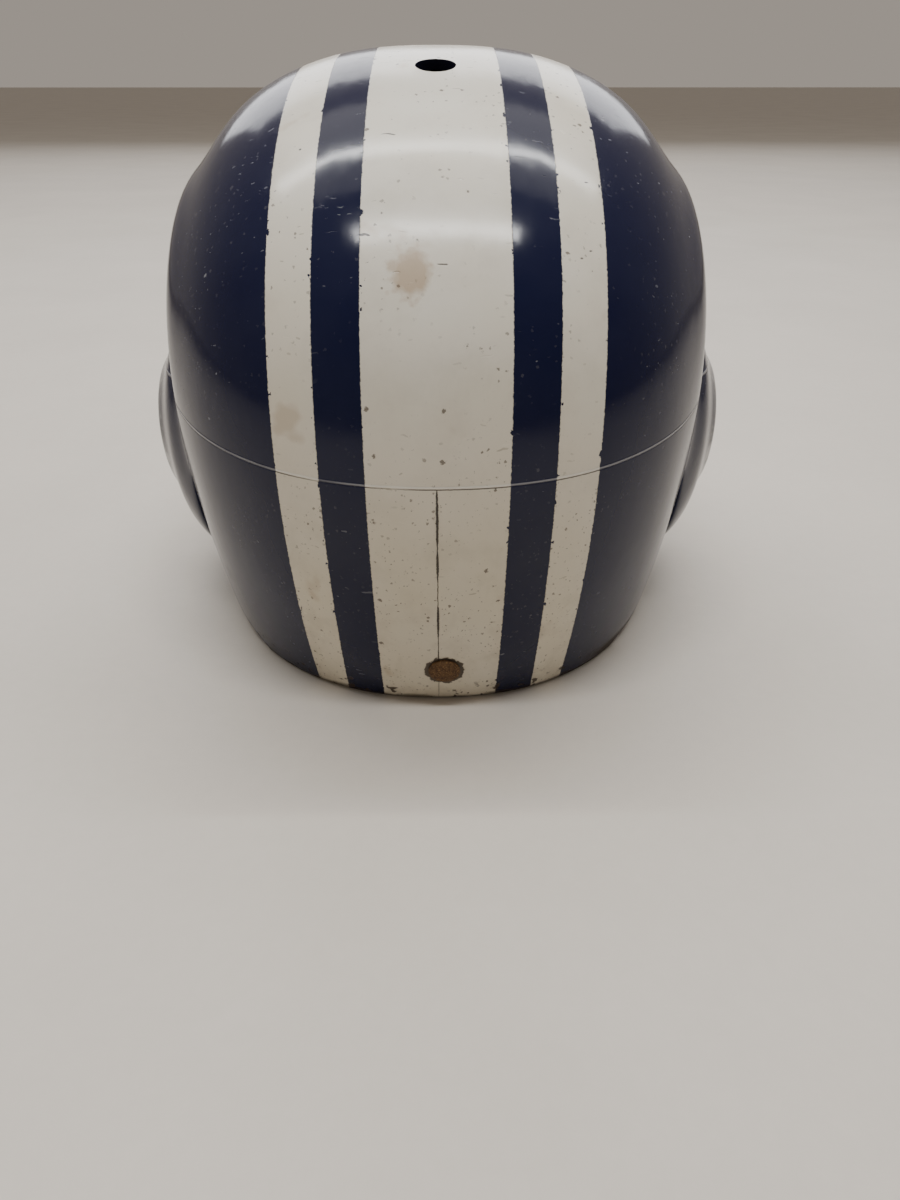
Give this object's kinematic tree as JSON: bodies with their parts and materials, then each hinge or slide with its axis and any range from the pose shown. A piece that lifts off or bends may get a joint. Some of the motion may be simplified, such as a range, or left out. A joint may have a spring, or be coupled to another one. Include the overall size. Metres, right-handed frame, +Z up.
{
  "type": "american football helmet",
  "caption": "Moulded hard shell with ear domes and striped crown, padded liner, snap-in jaw pads, wire face mask on loop straps and a press-stud chin strap.",
  "frame": {"origin": "on the table, under the middle of the helmet's box", "axes": "+Z up from the table, -Y the way the wearer looks, +X the wearer's left"},
  "size_m": [0.2504, 0.3071, 0.2285],
  "materials": {
    "shell_plastic": "glossy navy shell with painted cream stripes, scuffed",
    "rusty_steel": "rusty rivet head",
    "pad_vinyl": "dark brown vinyl-covered foam pads",
    "strap_plastic": "moulded plastic loop straps",
    "plated_steel": "plated steel screws, nuts, snaps and buckles",
    "mask_coating": "grey vinyl-dipped steel wire",
    "cup_plastic": "moulded plastic chin cup",
    "lining_foam": "soft lining",
    "webbing": "woven cotton webbing"
  },
  "bodies": {
    "shell_assembly": {"shell": "shell_plastic", "nape_rivet": "rusty_steel", "nape_washer": "rusty_steel", "crown_pad": "pad_vinyl", "front_pad": "pad_vinyl", "back_pad": "pad_vinyl", "side_pad_left": "pad_vinyl", "side_pad_right": "pad_vinyl", "nape_pad": "pad_vinyl", "brow_strap_left": "strap_plastic", "brow_strap_right": "strap_plastic", "brow_screws": "plated_steel", "brow_nuts": "plated_steel", "side_clip_left": "strap_plastic", "side_clip_right": "strap_plastic", "side_clip_screws": "plated_steel", "side_clip_nuts": "plated_steel", "chin_snap_studs": "plated_steel", "chin_snap_nuts": "plated_steel", "jaw_pad_studs": "plated_steel"},
    "face_mask": {"mask_brow_wire": "mask_coating", "mask_upper_bar": "mask_coating", "mask_lower_bar": "mask_coating", "mask_side_wire_left": "mask_coating", "mask_side_wire_right": "mask_coating", "mask_post_left": "mask_coating", "mask_post_right": "mask_coating"},
    "chin_strap": {"chin_cup": "cup_plastic", "chin_cup_lining": "lining_foam", "chin_strap_left": "webbing", "chin_strap_right": "webbing", "chin_snap_caps": "plated_steel", "chin_buckles": "plated_steel"},
    "jaw_pad_left": {"jaw_pad_left": "pad_vinyl", "jaw_socket_left": "plated_steel"},
    "jaw_pad_right": {"jaw_pad_right": "pad_vinyl", "jaw_socket_right": "plated_steel"}
  },
  "joints": [
    {"name": "mask_swing", "type": "hinge", "parent": "shell_assembly", "child": "face_mask", "pos_m": [0, -0.12395, 0.142], "axis": [-1, 0, 0], "range_deg": [0, 90]},
    {"name": "chin_strap_swing", "type": "hinge", "parent": "shell_assembly", "child": "chin_strap", "pos_m": [0, -0.03245, 0.027], "axis": [-1, 0, 0], "range_deg": [-30, 25]},
    {"name": "jaw_pad_left_pull", "type": "slide", "parent": "shell_assembly", "child": "jaw_pad_left", "axis": [-1, 0, 0], "range_m": [0, 0.018]},
    {"name": "jaw_pad_right_pull", "type": "slide", "parent": "shell_assembly", "child": "jaw_pad_right", "axis": [1, 0, 0], "range_m": [0, 0.018]}
  ]
}
